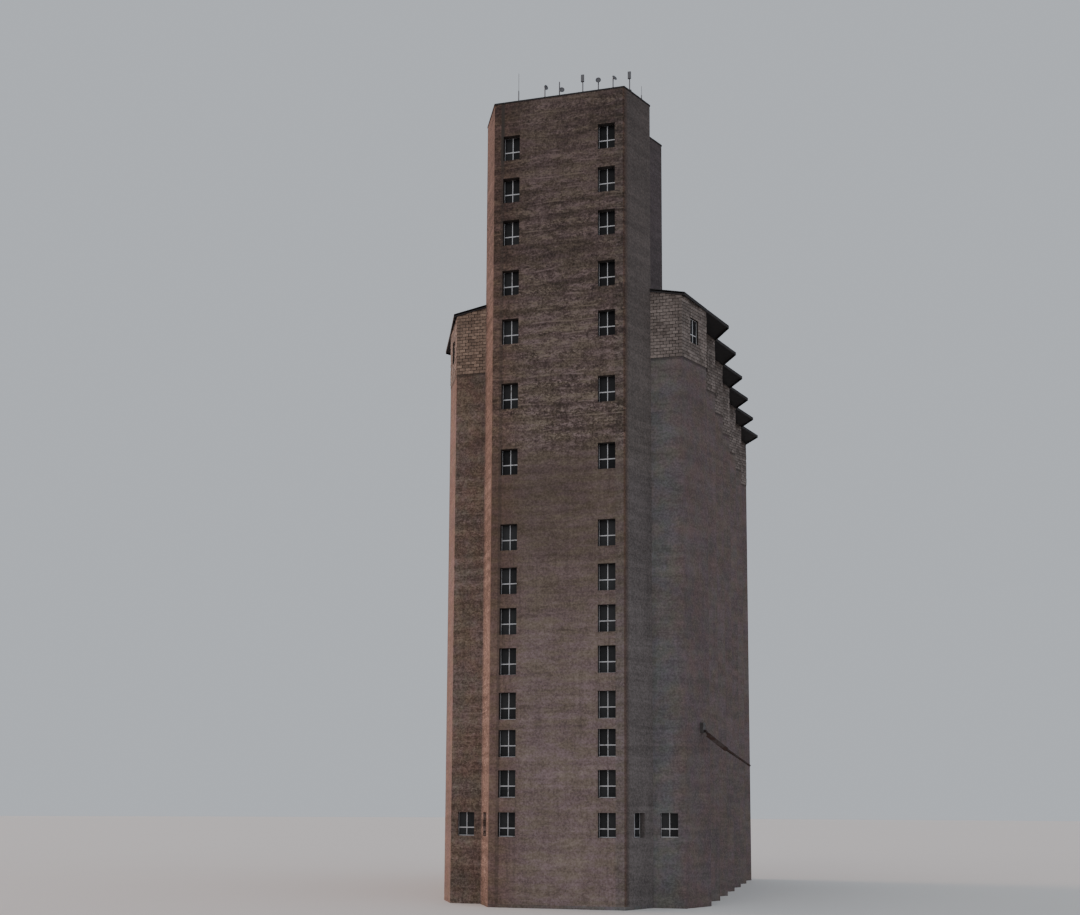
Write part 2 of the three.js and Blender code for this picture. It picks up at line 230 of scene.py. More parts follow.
class Wire:
    """A shader socket that takes ordinary arithmetic: each operation adds a Math node."""

    def __init__(self, finish, socket):
        self.finish = finish
        self.socket = socket

    def _do(self, operation, *values):
        return self.finish.node("ShaderNodeMath", {"operation": operation}, dict(enumerate(values)))

    def __add__(self, other):
        return self._do("ADD", self, other)

    def __radd__(self, other):
        return self._do("ADD", other, self)

    def __sub__(self, other):
        return self._do("SUBTRACT", self, other)

    def __rsub__(self, other):
        return self._do("SUBTRACT", other, self)

    def __mul__(self, other):
        return self._do("MULTIPLY", self, other)

    def __rmul__(self, other):
        return self._do("MULTIPLY", other, self)

    def __truediv__(self, other):
        return self._do("DIVIDE", self, other)

    def __rtruediv__(self, other):
        return self._do("DIVIDE", other, self)

    def __abs__(self):
        return self._do("ABSOLUTE", self)

    def fraction(self):
        return self._do("FRACT", self)

    def most(self, other):
        return self._do("MAXIMUM", self, other)

    def ramp(self, low, high, first=0.0, last=1.0):
        """Goes smoothly from first to last as this value goes from low to high."""
        settings = {"interpolation_type": "SMOOTHSTEP", "clamp": True}
        values = {0: self, 1: low, 2: high, 3: first, 4: last}
        return self.finish.node("ShaderNodeMapRange", settings, values)


def colour(values):
    return (*values, 1.0)


def shaded(base, share):
    return [part * share for part in base]


class Finish:
    """A procedural material on a Principled shader, built up from Python expressions."""

    def __init__(self, name, **constants):
        self.material = bpy.data.materials.new(name)
        self.material.use_nodes = True
        self.tree = self.material.node_tree
        self.shader = self.tree.nodes["Principled BSDF"]
        for key, value in constants.items():
            self.shader.inputs[key.replace("_", " ")].default_value = value
        self.place = self.node("ShaderNodeTexCoord", output="Object")
        split = self.node("ShaderNodeSeparateXYZ", values={0: self.place}, output=None)
        self.x, self.y, self.z = (Wire(self, socket) for socket in split.outputs)

    def node(self, kind, settings=None, values=None, output=0):
        made = self.tree.nodes.new(kind)
        for key, value in (settings or {}).items():
            setattr(made, key, value)
        for key, value in (values or {}).items():
            if isinstance(value, Wire):
                self.tree.links.new(value.socket, made.inputs[key])
            else:
                made.inputs[key].default_value = value
        return made if output is None else Wire(self, made.outputs[output])

    def scaled(self, x, y, z):
        return self.node("ShaderNodeMapping", {}, {"Vector": self.place, "Scale": (x, y, z)})

    def noise(self, scale, detail=4.0, rough=0.55, stretch=(1, 1, 1)):
        values = {"Vector": self.scaled(*stretch), "Scale": scale, "Detail": detail, "Roughness": rough}
        return self.node("ShaderNodeTexNoise", {}, values)

    def patchy(self, *settings):
        """Noise with its middle part spread out, to run from nought to one."""
        return self.noise(*settings).ramp(0.36, 0.64)

    def mix(self, factor, first, second, how="MIX"):
        """Goes from one colour to another, each of them a wire or three plain numbers."""
        first, second = (part if isinstance(part, Wire) else colour(part) for part in (first, second))
        settings = {"data_type": "RGBA", "blend_type": how}
        return self.node("ShaderNodeMix", settings, {0: factor, 6: first, 7: second}, output=2)

    def multiplied(self, factor, body, tone):
        return self.mix(factor, body, tone, "MULTIPLY")

    def on_front(self):
        """One on the tower's front wall, nought on everything behind it."""
        return self.y.ramp(FRONT_FACE + 0.015, FRONT_FACE + 0.075, 1.0, 0.0)

    def behind_front(self):
        return 1 - self.on_front()

    def behind_wings(self):
        """One on everything behind the cells' two narrow front walls."""
        return self.y.ramp(WING_FACE + 0.003, WING_FACE + 0.015)

    def left_of_tower(self):
        return self.x.ramp(TOWER_LEFT - 0.08, TOWER_LEFT - 0.02, 1.0, 0.0)

    def feed(self, socket, value):
        self.tree.links.new(value.socket, self.shader.inputs[socket])

    def bump(self, height, strength, distance):
        values = {"Height": height, "Strength": strength, "Distance": distance}
        self.feed("Normal", self.node("ShaderNodeBump", {}, values, output="Normal"))


def cast_surface(finish, streaks, grain):
    """The unevenness of the concrete's tone: level streaks, mottling, clouds, soft tiers and drips."""
    mottle = finish.patchy(1.0, 5.0, 0.72, (8.0, 8.0, 15.0))
    blotches = finish.patchy(1.0, 3.0, 0.6, (1.8, 1.8, 3.4))
    tiers = finish.patchy(1.0, 3.0, 0.6, (0.2, 0.2, 5.0))
    drips = finish.patchy(1.0, 3.0, 0.6, (6.0, 6.0, 0.5))
    cloud = finish.noise(0.5, 4.0, 0.55)
    fine = streaks.ramp(0.32, 0.68) * 0.1 + mottle * 0.16 + blotches * 0.1 + grain.ramp(0.34, 0.66) * 0.4
    return fine + cloud.ramp(0.3, 0.7) * 0.14 + tiers * 0.16 + drips * 0.06 - 0.56


def worn_lifts(finish):
    """The lifts of the casting: rough rows along them, and their spalls, seams and pits as well."""
    wobble = finish.noise(0.45, 2.0)
    lift = ((finish.z + wobble * 0.3) / LIFT_HEIGHT).fraction()
    row = lift.ramp(0.05, 0.4) * lift.ramp(0.6, 0.98, 1.0, 0.0)
    patches = finish.noise(1.0, 7.0, 0.78, (3.6, 3.6, 8.5))
    rough_rows = (row * 0.8 + 0.2) * patches.ramp(0.47, 0.64)
    spalls = finish.noise(1.0, 4.0, 0.75, (9.0, 9.0, 18.0)).ramp(0.54, 0.6) * row
    seams = lift.ramp(0.0, 0.05) * lift.ramp(0.09, 0.15, 1.0, 0.0)
    seams = seams * finish.noise(1.0, 3.0, 0.6, (0.9, 0.9, 2.4)).ramp(0.48, 0.58)
    pits = finish.noise(1.0, 4.0, 0.7, (12.0, 12.0, 24.0)).ramp(0.55, 0.64)
    zones = finish.noise(1.0, 2.0, 0.5, (0.5, 0.5, 1.5)).ramp(0.4, 0.58) * 0.65 + 0.4
    worn = rough_rows * 0.58 + spalls * 0.9 + seams * 0.45 - pits * 0.1
    return rough_rows, worn * zones


def painted_sun_flecks(finish):
    """Painted light and shade: flecks on the left-hand facets alone, lighter and darker than the wall, for
    the low sun grazing their rough face.
    """
    facets = finish.left_of_tower() * abs(finish.y - WING_FACE).ramp(0.003, 0.006)
    facets = facets * finish.behind_front() * finish.y.ramp(REAR_FACE - 0.035, REAR_FACE - 0.015, 1.0, 0.0)
    return (finish.patchy(15.0, 3.0, 0.8) - 0.5) * facets


def slipformed(name, dark, light, high_tone, low_tone, wear):
    """Concrete cast in level lifts: rows of pale spalled patches high up, finer and smoother low down."""
    finish = Finish(name)
    left_front = finish.left_of_tower() * finish.y.ramp(WING_FACE + 0.003, WING_FACE + 0.007, 1.0, 0.0)
    front = finish.on_front().most(left_front)
    # The fronts are rough above about half height, and the left wing's all the way down.
    rough = finish.z.ramp(12.9, 14.0).most(left_front)
    streaks = finish.noise(1.0, 7.0, 0.74, (3.0, 3.0, 22.0))
    grain = finish.noise(17.0, 5.0, 0.75)
    rough_rows, worn = worn_lifts(finish)
    worn = worn * front * (rough * 0.85 + 0.08) * wear
    strength = front * (rough * 0.54 + 0.02) + 0.5
    # The left facets' flecks are painted light and shade.
    tone = cast_surface(finish, streaks, grain) * strength + 0.4 + worn + painted_sun_flecks(finish) * 0.3
    body = finish.mix(tone.ramp(0.0, 1.1), shaded(dark, 0.55), light)
    body = finish.multiplied(1.0, body, finish.mix(finish.z.ramp(5.5, 23.5), low_tone, high_tone))
    damp = finish.mix(tone.ramp(0.2, 0.8), (1.06, 1.0, 0.98), (0.96, 1.0, 1.02))
    body = finish.multiplied(front, body, damp)
    runs = finish.noise(1.0, 3.0, 0.55, (4.5, 4.5, 0.14))
    body = finish.mix(runs.ramp(0.52, 0.8) * 0.26, body, shaded(dark, 0.5))
    finish.feed("Roughness", grain.ramp(0.2, 0.8, 0.95, 0.82))
    finish.bump(streaks * 0.4 + grain * 0.35 + rough_rows * 0.5, 0.5, 0.012)
    return finish, body


def painted_side_light(finish, body, left, right):
    """Painted light: a warm ochre tint on the front's left half, greyer on the right and along the sides."""
    across = finish.x.ramp(-2.4, 2.4).most(finish.behind_wings())
    return finish.multiplied(1.0, body, finish.mix(across, left, right))


def front_tints(finish, body):
    """The tones of the tower's front: its left half, the strip beside its right edge, and its foot."""
    front = finish.on_front()
    across = finish.x / METRE
    beside = front * across.ramp(3.4, 3.6)
    hue = finish.noise(1.0, 4.0, 0.65, (1.1, 1.1, 3.2)).ramp(0.38, 0.62)
    tints = (
        (front, (0.88, 0.85, 0.84)),
        (front * across.ramp(-3.9, -1.6, 1.0, 0.0), (0.885, 0.75, 0.66)),
        (beside, finish.mix(finish.z.ramp(12.5, 15.5), (1.0, 1.05, 1.06), (0.87, 0.9, 0.91))),
        (beside * finish.z.ramp(9.4, 10.6, 1.0, 0.0), (0.82, 0.83, 0.84)),
        (front, finish.mix(finish.z.ramp(5.2, 12.0), (1.35, 1.38, 1.52), (1.0, 1.0, 1.0))),
        (front, finish.mix(hue, (1.03, 0.98, 1.07), (0.98, 1.01, 0.9))),
    )
    for where, tone in tints:
        body = finish.multiplied(where, body, tone)
    return body


def tower_marks(finish, body, dark):
    """The tower's own marks: a seam, painted shade in the window reveals, a darker band beside the
    right-hand corner, and painted light and shade on each of its sides.
    """
    body = front_tints(finish, body)
    across = finish.x / METRE
    from_column = abs(abs(across) - WINDOW_OFFSET)
    seam = abs(across + 3.55).ramp(0.07, 0.15, 1.0, 0.0) * finish.z.ramp(22.4, 22.9, 0.4, 1.0)
    runs = finish.noise(1.0, 4.0, 0.6, (11.0, 11.0, 0.7))
    stain = from_column.ramp(0.42, 0.62, 1.0, 0.0) * runs.ramp(0.46, 0.7) * 0.3
    body = finish.mix(seam.most(stain) * finish.on_front(), body, shaded(dark, 0.45))
    inner_face = FRONT_FACE + TOWER_WALL * METRE
    # Painted shade: the sides of the window openings, inside the thickness of the front wall, are darkened.
    in_wall = finish.y.ramp(FRONT_FACE + 0.001, FRONT_FACE + 0.009)
    in_wall = in_wall * finish.y.ramp(inner_face, inner_face + 0.02, 1.0, 0.0)
    reveal = in_wall * from_column.ramp(0.56, 0.6, 0.7, 0.0)
    body = finish.mix(reveal, body, shaded(dark, 0.12))
    # Painted light and shade on the sides: the left side is warmer, the right facet greyer than the front,
    # and paler high up.
    facet_painted_light = finish.mix(finish.z.ramp(12.2, 13.8), (0.93, 1.03, 1.18), (1.08, 1.2, 1.31))
    right = finish.mix(finish.y.ramp(-7.8, -6.6), facet_painted_light, (0.92, 0.99, 1.21))
    flank_painted_light = finish.mix(across.ramp(-4.0, 4.0), (0.93, 0.82, 0.82), right)
    body = finish.multiplied(finish.behind_front(), body, flank_painted_light)
    # A darker brown band runs down beside the right-hand corner.
    edge = across.ramp(3.98, 4.04) * across.ramp(4.13, 4.3, 1.0, 0.0)
    corner = finish.mix(finish.z.ramp(9.3, 10.3), (0.68, 0.56, 0.5), (0.82, 0.65, 0.55))
    return finish.multiplied(edge, body, corner)


def cell_marks(finish, body, dark, left, right):
    """The cells' own marks: painted shadow under the deck, patchy hues, and painted light and shade on each
    of their sides.
    """
    # Painted shadow: a dark band just below the deck's edge, for the shade under the blockwork.
    deck_painted_shadow = (finish.z / METRE).ramp(CELL_TOP - 0.2, CELL_TOP - 0.1, 0.0, 0.65)
    body = finish.mix(deck_painted_shadow, body, shaded(dark, 0.4))
    # Painted light: warm on the left, greyer on the right.
    body = painted_side_light(finish, body, left, right)
    rusty = finish.mix(finish.patchy(1.7, 4.0, 0.6), (0.95, 0.98, 1.04), (1.06, 1.0, 0.94))
    mossy = finish.noise(2.3, 4.0, 0.6).ramp(0.38, 0.62)
    mossy = finish.mix(mossy, (1.035, 0.97, 1.035), (0.965, 1.03, 0.965))
    body = finish.multiplied(1.0, finish.multiplied(1.0, body, rusty), mossy)
    # Painted light and shade: the sides are tinted warm on the left and darker on the right, for the light
    # that falls on each.
    painted_light_sides = finish.behind_wings().most(finish.x.ramp(3.0, 3.8))
    facets = finish.mix(finish.x.ramp(-3.4, 3.4), (1.2, 0.88, 0.78), (0.96, 0.78, 0.76))
    body = finish.multiplied(painted_light_sides, body, facets)
    return finish.multiplied(finish.y.ramp(-6.4, -4.6), body, (1.13, 1.14, 1.11))


def mortar_finish(shade, filled):
    """Dark open joints, in places filled flush with paler mortar."""
    finish = Finish("block_mortar")
    grain = finish.noise(30.0, 4.0)
    patchy = (finish.noise(3.4, 5.0, 0.7) + grain * 0.12).ramp(0.56, 0.74)
    finish.feed("Base Color", finish.mix(patchy, shade, filled))
    finish.feed("Roughness", grain.ramp(0.2, 0.8, 0.98, 0.88))
    finish.bump(grain, 0.4, 0.006)
    return finish.material


def block_finish(dark, light, left, right):
    """Pale blocks, each with its own tone, rough and pitted, browner where rain has run."""
    finish = Finish("concrete_blocks")
    own = finish.node("ShaderNodeAttribute", {"attribute_name": "tone"}, output="Fac")
    pits = finish.noise(26.0, 6.0, 0.72)
    blotch = finish.noise(2.6, 5.0, 0.65)
    tone = own * 0.42 + pits.ramp(0.3, 0.72) * 0.44 + blotch.ramp(0.32, 0.68) * 0.36
    body = finish.mix(tone.ramp(0.2, 1.15), dark, light)
    runs = finish.noise(1.0, 3.0, 0.5, (3.5, 3.5, 0.4))
    body = finish.mix(runs.ramp(0.52, 0.78) * 0.4, body, shaded(dark, 0.7))
    # The blocks take the same painted light, warm on the left and greyer on the right.
    finish.feed("Base Color", painted_side_light(finish, body, left, right))
    finish.feed("Roughness", pits.ramp(0.2, 0.8, 0.96, 0.84))
    finish.bump(pits, 0.8, 0.014)
    return finish.material


def roof_finish(name, shade, worn):
    finish = Finish(name)
    grain = finish.noise(7.0, 5.0, 0.6)
    runs = finish.noise(1.0, 3.0, 0.6, (0.5, 5.0, 0.5))
    tone = grain.ramp(0.35, 0.75) * 0.55 + runs.ramp(0.4, 0.75) * 0.45
    finish.feed("Base Color", finish.mix(tone, shade, worn))
    finish.feed("Roughness", grain.ramp(0.2, 0.8, 0.75, 0.92))
    finish.bump(grain, 0.35, 0.008)
    return finish.material


def steel_finish(name, paint, rust, cover, metallic):
    """Metal under paint or zinc, with rust where the noise is highest."""
    finish = Finish(name)
    patches = finish.noise(7.0, 5.0, 0.65)
    fine = finish.noise(60.0, 4.0, 0.6)
    amount = (patches * 0.75 + fine * 0.25).ramp(cover - 0.09, cover + 0.09)
    clean = finish.mix(fine, shaded(paint, 0.85), paint)
    rusty = finish.mix(fine, shaded(rust, 0.55), rust)
    finish.feed("Base Color", finish.mix(amount, clean, rusty))
    finish.feed("Roughness", amount.ramp(0.0, 1.0, 0.45, 0.92))
    finish.feed("Metallic", amount.ramp(0.0, 1.0, metallic, 0.1))
    finish.bump(fine * 0.5 + amount * 0.5, 0.35, 0.004)
    return finish.material


def glass_finish(shade, dusty):
    """Dark panes, each with its own tone, paler low down and on the left."""
    finish = Finish("window_glass", Specular_IOR_Level=0.05)
    own = finish.node("ShaderNodeAttribute", {"attribute_name": "tone"}, output="Fac")
    dust = finish.noise(6.0, 4.0, 0.6)
    low = finish.z.ramp(11.0, 12.5, 0.36, 0.0).most(finish.x.ramp(-1.0, 0.0, 0.14, 0.0))
    amount = own.ramp(0.2, 1.0) * 0.35 + dust.ramp(0.45, 0.8) * 0.2 + low
    finish.feed("Base Color", finish.mix(amount, shade, dusty))
    finish.feed("Roughness", dust.ramp(0.3, 0.8, 0.2, 0.5))
    return finish.material


def floor_finish(shade):
    finish = Finish("studio_floor")
    grain = finish.noise(0.12, 3.0)
    finish.feed("Base Color", finish.mix(grain, shaded(shade, 0.97), shade))
    finish.feed("Roughness", grain.ramp(0.0, 1.0, 0.9, 0.95))
    return finish.material


# Settings that a user would change.


def tint(name, description, default):
    return FloatVectorProperty(
        name=name, description=description, default=default, size=3, subtype="COLOR", min=0.0, max=1.0
    )


def length(name, description, default):
    return FloatProperty(name=name, description=description, default=default, unit="LENGTH", min=0.0)


class ConcreteSettings(bpy.types.PropertyGroup):
    dark: tint("Dark concrete", "Colour of the darker streaks", (0.084, 0.064, 0.052))
    light: tint("Light concrete", "Colour of the paler patches", (0.34, 0.27, 0.231))
    cell_dark: tint("Dark cell concrete", "Darker tone of the cell walls", (0.114, 0.097, 0.089))
    cell_light: tint("Light cell concrete", "Paler tone of the cell walls", (0.315, 0.277, 0.263))
    top: tint("Tone at the top", "Multiplies the tower's colour at the roof", (0.53, 0.485, 0.485))
    foot: tint("Tone at the foot", "Multiplies the tower's colour low down", (1.0, 1.0, 1.0))
    cell_top: tint("Cell tone at the top", "Multiplies the cells' colour at the roof", (0.9, 0.87, 0.85))
    cell_foot: tint("Cell tone at the foot", "Multiplies the cells' colour low down", (1.0, 1.0, 1.0))
    # The left and right tones are painted light: the warm light on the left and the cooler light on the
    # right.
    left: tint("Left tone", "Multiplies the colour of the left side", (0.85, 0.7, 0.59))
    right: tint("Right tone", "Multiplies the colour of the right side", (0.86, 0.93, 0.98))


class WindowSettings(bpy.types.PropertyGroup):
    width: length("Width", "Opening width of a tower window, at model size", 0.525)
    gallery_width: length("Gallery width", "Opening width of a gallery window, at model size", 0.43)
    bar: length("Bar", "Width of a window's mullion", 0.024)
    gallery_bar: length("Gallery bar", "Width of a gallery window's mullion", 0.02)
    depth: length("Depth", "Thickness of a window frame", 0.024)
    hidden: length("Hidden rail", "How far a frame's top rail reaches up behind the wall", 0.022)
    gallery_reveal: length("Gallery reveal", "How far a gallery frame stands behind the wall's face", 0.05)
    paint: tint("Paint", "Colour of the frames", (0.56, 0.56, 0.58))
    rust: tint("Wear", "Colour where the paint is gone", (0.2, 0.16, 0.13))
    glass: tint("Glass", "Colour of a dark pane", (0.009, 0.009, 0.01))
    dust: tint("Dust", "Colour of a dusty pane", (0.05, 0.051, 0.053))


class BlockSettings(bpy.types.PropertyGroup):
    course: length("Course height", "Height of one course with its joint, at model size", 0.1023)
    block: length("Block length", "Length of one block with its joint, at model size", 0.19)
    gap: length("Joint", "Width of the open joint", 0.0155)
    proud: length("Relief", "How far a block stands out of its joints", 0.016)
    dark: tint("Dark blocks", "Colour of the darker blocks", (0.14, 0.112, 0.096))
    light: tint("Light blocks", "Colour of the paler blocks", (0.36, 0.3, 0.265))
    mortar: tint("Open joints", "Colour in the open joints", (0.015, 0.012, 0.011))
    filled: tint("Mortar", "Colour of joints that are filled with mortar", (0.085, 0.07, 0.061))
    # The left and right tones are painted light: the warm light on the left and the cooler light on the
    # right.
    left: tint("Left tone", "Multiplies the colour of the left side", (1.0, 0.84, 0.72))
    right: tint("Right tone", "Multiplies the colour of the right side", (0.74, 0.74, 0.76))


class RoofSettings(bpy.types.PropertyGroup):
    pitch: length("Corrugation", "Width of one wave of the sheets, at model size", 0.0885)
    swell: length("Wave height", "Half the height of a wave", 0.0125)
    sheet: length("Sheet length", "Length of a sheet down the slope, at model size", 0.6)
    board: length("Edge board", "Height of the board along the eaves and the front edges", 0.1)
    cover: length("Board cover", "How far the board stands up in front of the sheets' ends", 0.025)
    waves: IntProperty(name="Facets per wave", description="Points along one wave", default=6, min=4, max=12)
    shade: tint("Sheet", "Colour of the roof sheets", (0.06, 0.057, 0.055))
    worn: tint("Weathered sheet", "Colour where the sheets are weathered", (0.17, 0.163, 0.15))
    # Painted shade: the roof's edge boards and underside are near black for the shade under the eaves.
    edge: tint("Edge", "Colour of the roof's edge and underside", (0.014, 0.012, 0.0125))


class MetalSettings(bpy.types.PropertyGroup):
    zinc: tint("Zinc", "Colour of the whip aerials", (0.14, 0.145, 0.15))
    zinc_rust: tint("Zinc rust", "Colour of the rust on the whip aerials", (0.1, 0.06, 0.04))
    paint: tint("Aerial paint", "Colour of the dishes and panels", (0.1, 0.1, 0.11))
    paint_rust: tint("Aerial rust", "Colour of the rust on the dishes and panels", (0.08, 0.055, 0.045))
    spout: tint("Spout", "Colour of the loading spout", (0.034, 0.022, 0.02))
    spout_rust: tint("Spout rust", "Colour of the rust on the spout", (0.05, 0.024, 0.018))
    outlet: tint("Outlet box", "Colour of the outlet box", (0.085, 0.082, 0.08))
    outlet_rust: tint("Outlet rust", "Colour of the rust on the outlet box", (0.04, 0.028, 0.024))


class StageSettings(bpy.types.PropertyGroup):
    floor: tint("Floor", "Colour of the studio floor", (0.8, 0.79, 0.77))
    sky: tint("Backdrop", "Colour of the studio's backdrop", (0.68, 0.72, 0.78))
    strength: FloatProperty(name="Backdrop light", description="Strength of the backdrop", default=0.75)
    left: FloatProperty(name="Left light", description="Strength of the warm left light", default=3.3)
    front: FloatProperty(name="Front light", description="Strength of the light from the front", default=0.6)
    right: FloatProperty(name="Right light", description="Strength of the right-hand light", default=0.16)
    warm: tint("Warm light", "Colour of the light from the left", (1.0, 0.56, 0.37))
    cool: tint("Cool light", "Colour of the light from the right", (0.72, 0.82, 1.0))


SETTINGS = {
    "silo_concrete": ConcreteSettings,
    "silo_windows": WindowSettings,
    "silo_blocks": BlockSettings,
    "silo_roof": RoofSettings,
    "silo_metal": MetalSettings,
    "silo_stage": StageSettings,
}


def cad_nodes(*starts):
    return [node for name, node in sorted(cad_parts.items()) if name.startswith(starts)]


def dress(nodes, material):
    for node in nodes:
        for slot in node.material_slots:
            slot.material = material


class SILO_OT_concrete(bpy.types.Operator):
    """Gives the tower, cells, deck and ground slab their weathered concrete"""

    bl_idname = "silo.concrete"
    bl_label = "Concrete walls"

    def execute(self, context):
        s = context.scene.silo_concrete
        tower, body = slipformed("tower_concrete", s.dark, s.light, s.top, s.foot, wear=1.0)
        tower.feed("Base Color", tower_marks(tower, body, s.dark))
        tones = (s.cell_dark, s.cell_light, s.cell_top, s.cell_foot)
        cells, body = slipformed("cell_concrete", *tones, wear=0.45)
        cells.feed("Base Color", cell_marks(cells, body, s.cell_dark, s.left, s.right))
        dress(cad_nodes("tower_front", "tower_left", "tower_right", "tower_rear"), tower.material)
        dress(cad_nodes("cell_", "wing_", "gallery_floor", "ground_slab"), cells.material)
        return {"FINISHED"}


def window_frame(name, width, sill, head, transom, bar, hidden, s):
    """A frame with a mullion and a transom, drawn in the XZ plane about its opening's middle.

    Its bottom rail and transom are deeper than its stiles, and its top rail reaches up behind
    the wall by the hidden height.
    """
    middle = (sill + head) / 2
    rail = (sill - middle) * METRE + bar / 2
    cross = (transom - middle) * METRE
    half = bar / 6
    piece = begin(bpy.ops.mesh.primitive_plane_add, name, size=1.0, rotation=(math.pi / 2, 0, 0))
    edit_all(piece)
    bpy.ops.transform.resize(value=(width, 1.0, (head - sill) * METRE + hidden))
    bpy.ops.transform.translate(value=(0, 0, hidden / 2))
    cut((0, 0, 0), (1, 0, 0))
    for height in (rail, cross - half, cross + half):
        cut((0, 0, height), (0, 0, 1))
    pick_faces(piece, lambda centre, normal: centre.z > rail and abs(centre.z - cross) > half)
    bpy.ops.mesh.inset(thickness=bar / 2, use_individual=True)
    bpy.ops.mesh.delete(type="FACE")
    rest()
    apply(piece, "SOLIDIFY", thickness=s.depth, offset=0.0)
    apply(piece, "BEVEL", width=0.003, segments=1, limit_method="ANGLE")
    return piece


def window_panes(name, width, sill, head, transom, bar):
    """Four thin panes that sit in the frame's rebates."""
    middle = (sill + head) / 2
    thickness, set_back, putty = 0.006, 0.004, 0.012
    margin = bar * 0.4
    panes = []
    for side in (-1, 1):
        for low, high in ((sill, transom), (transom, head)):
            centre = (side * width / 4, set_back, ((low + high) / 2 - middle) * METRE)
            pane = begin(bpy.ops.mesh.primitive_cube_add, name, size=1.0, location=centre)
            edit_all(pane)
            size = (width / 2 - margin, thickness, (high - low) * METRE - margin)
            bpy.ops.transform.resize(value=size, center_override=centre)
            pick_faces(pane, lambda middle, normal: abs(normal.y) > 0.9)
            bpy.ops.mesh.inset(thickness=putty, use_individual=True)
            rest()
            panes.append(pane)
    return joined(name, panes)


def toned(piece, count, seed):
    """Gives each of a piece's copies its own random tone, for its material to read."""
    chance = random.Random(seed)
    tones = [chance.random() for _ in range(count)]
    each = len(piece.data.vertices) // count
    values = piece.data.attributes.new("tone", "FLOAT", "POINT")
    values.data.foreach_set("value", [tone for tone in tones for _ in range(each)])


def window_places():
    """The windows of each kind: the two plan points of the wall, and the height of the transom."""
    shoulder = (FRONT_HALF_WIDTH + FACET_SPREAD, FACET_DEPTH)
    right = [(FRONT_HALF_WIDTH, 0.0), shoulder, (WING_HALF_WIDTH, FACET_DEPTH)]
    left = mirrored(right)
    found = {"tower": [], "ground": [], "wing": [], "gallery": []}
    for u in (-WINDOW_OFFSET, WINDOW_OFFSET):
        ends = ((u - 1, 0.0), (u + 1, 0.0))
        found["tower"].extend((ends, height) for height in TRANSOM_HEIGHTS)
        found["ground"].append((ends, None))
    found["ground"] += [(right[:2], None), (left[1:], None)]
    found["wing"] += [(right[1:], None), (left[:2], None)]
    line = cell_line()
    for i in range(1, len(line) - 2):
        if i != REAR_WALL:
            found["gallery"].append((line[i : i + 2], None))
    return found


class SILO_OT_windows(bpy.types.Operator):
    """Adds the frames and dark panes of every window"""

    bl_idname = "silo.windows"
    bl_label = "Windows"

    def execute(self, context):
        s = context.scene.silo_windows
        paint = steel_finish("window_paint", s.paint, s.rust, cover=0.62, metallic=0.0)
        glass = glass_finish(s.glass, s.dust)
        found = window_places()
        tall = BELOW_TRANSOM + ABOVE_TRANSOM
        transom = BELOW_TRANSOM + TRANSOM_LIFT
        ground = (s.width, GROUND_SILL, GROUND_HEAD, GROUND_TRANSOM, s.bar)
        gallery = (s.gallery_width, GALLERY_SILL, GALLERY_HEAD, GALLERY_TRANSOM, s.gallery_bar)
        kinds = {
            "tower": (s.width, 0.0, tall, transom, s.bar, TOWER_WALL * METRE, s.hidden),
            "ground": (*ground, TOWER_WALL * METRE, s.hidden),
            "wing": (*ground, CELL_WALL * METRE, s.hidden),
            "gallery": (*gallery, s.gallery_reveal, 0.0),
        }
        for seed, (kind, values) in enumerate(kinds.items()):
            width, sill, head, transom, bar, reveal, hidden = values
            back = (reveal + s.depth / 2 + 0.001) / METRE
            places = []
            for (start, end), height in found[kind]:
                middle = (sill + head) / 2 + (height - BELOW_TRANSOM if height else 0.0)
                places.append(facing(start, end, middle, back))
            frames = window_frame("frame", width, sill, head, transom, bar, hidden, s)
            frames = repeated(frames, f"{kind}_window_frames", places)
            finished(frames, paint)
            panes = window_panes("pane", width, sill, head, transom, bar)
            panes = repeated(panes, f"{kind}_window_panes", places)
            toned(panes, len(places) * 4, seed)
            finished(panes, glass)
        return {"FINISHED"}


def under_roof(x):
    """The height just below the roof's underside, in the model's own metres."""
    return (RIDGE_HEIGHT - ROOF_THICKNESS) * METRE - ROOF_FALL * abs(x) - 0.001


def without(rect, hole):
    """A rectangle of wall less a window: the parts beside it, below it and above it."""
    a, b, low, high = rect
    if hole is None or b <= hole[0] or a >= hole[1] or high <= hole[2] or low >= hole[3]:
        return [rect]
    inner, outer = max(a, hole[0]), min(b, hole[1])
    parts = [(a, hole[0], low, high), (hole[1], b, low, high)]
    parts += [(inner, outer, low, hole[2]), (inner, outer, hole[3], high)]
    return [p for p in parts if p[1] - p[0] > SHORTEST_BLOCK and p[3] - p[2] > LOWEST_BLOCK]


def course_blocks(run, s, hole, shift):
    """The blocks of one wall stretch: rectangles along the wall and up it, in model metres."""
    low = CELL_TOP * METRE
    courses = math.ceil((RIDGE_HEIGHT - CELL_TOP) * METRE / s.course)
    rows = []
    for row in range(courses):
        bottom = low + row * s.course
        joints = [0.0]
        joint = s.block - (shift + row) % 2 * s.block / 2
        while joint < run - NEAREST_JOINT:
            joints.append(joint)
            joint += s.block
        joints.append(run)
        for a, b in zip(joints, joints[1:]):
            rows.extend(without((a, b, bottom, bottom + s.course), hole))
    return rows


def block_place(rect, run, start, along, outward, proud, s):
    """Puts the unit block on a rectangle of wall: its bevels keep their size, and corners are closed."""
    a, b, low, high = rect
    a += -proud / 2 if a < 0.001 else s.gap / 2
    b -= -proud / 2 if b > run - 0.001 else s.gap / 2
    low, high = low + s.gap / 2, high - s.gap / 2

    def place(point):
        across = a + point.x * BEVEL_SCALE if point.x < 0.5 else b - (1 - point.x) * BEVEL_SCALE
        up = low + point.z * BEVEL_SCALE if point.z < 0.5 else high - (1 - point.z) * BEVEL_SCALE
        at = start + along * across + outward * (point.y * proud)
        return Vector((at.x, at.y, min(up, under_roof(at.x))))

    return place


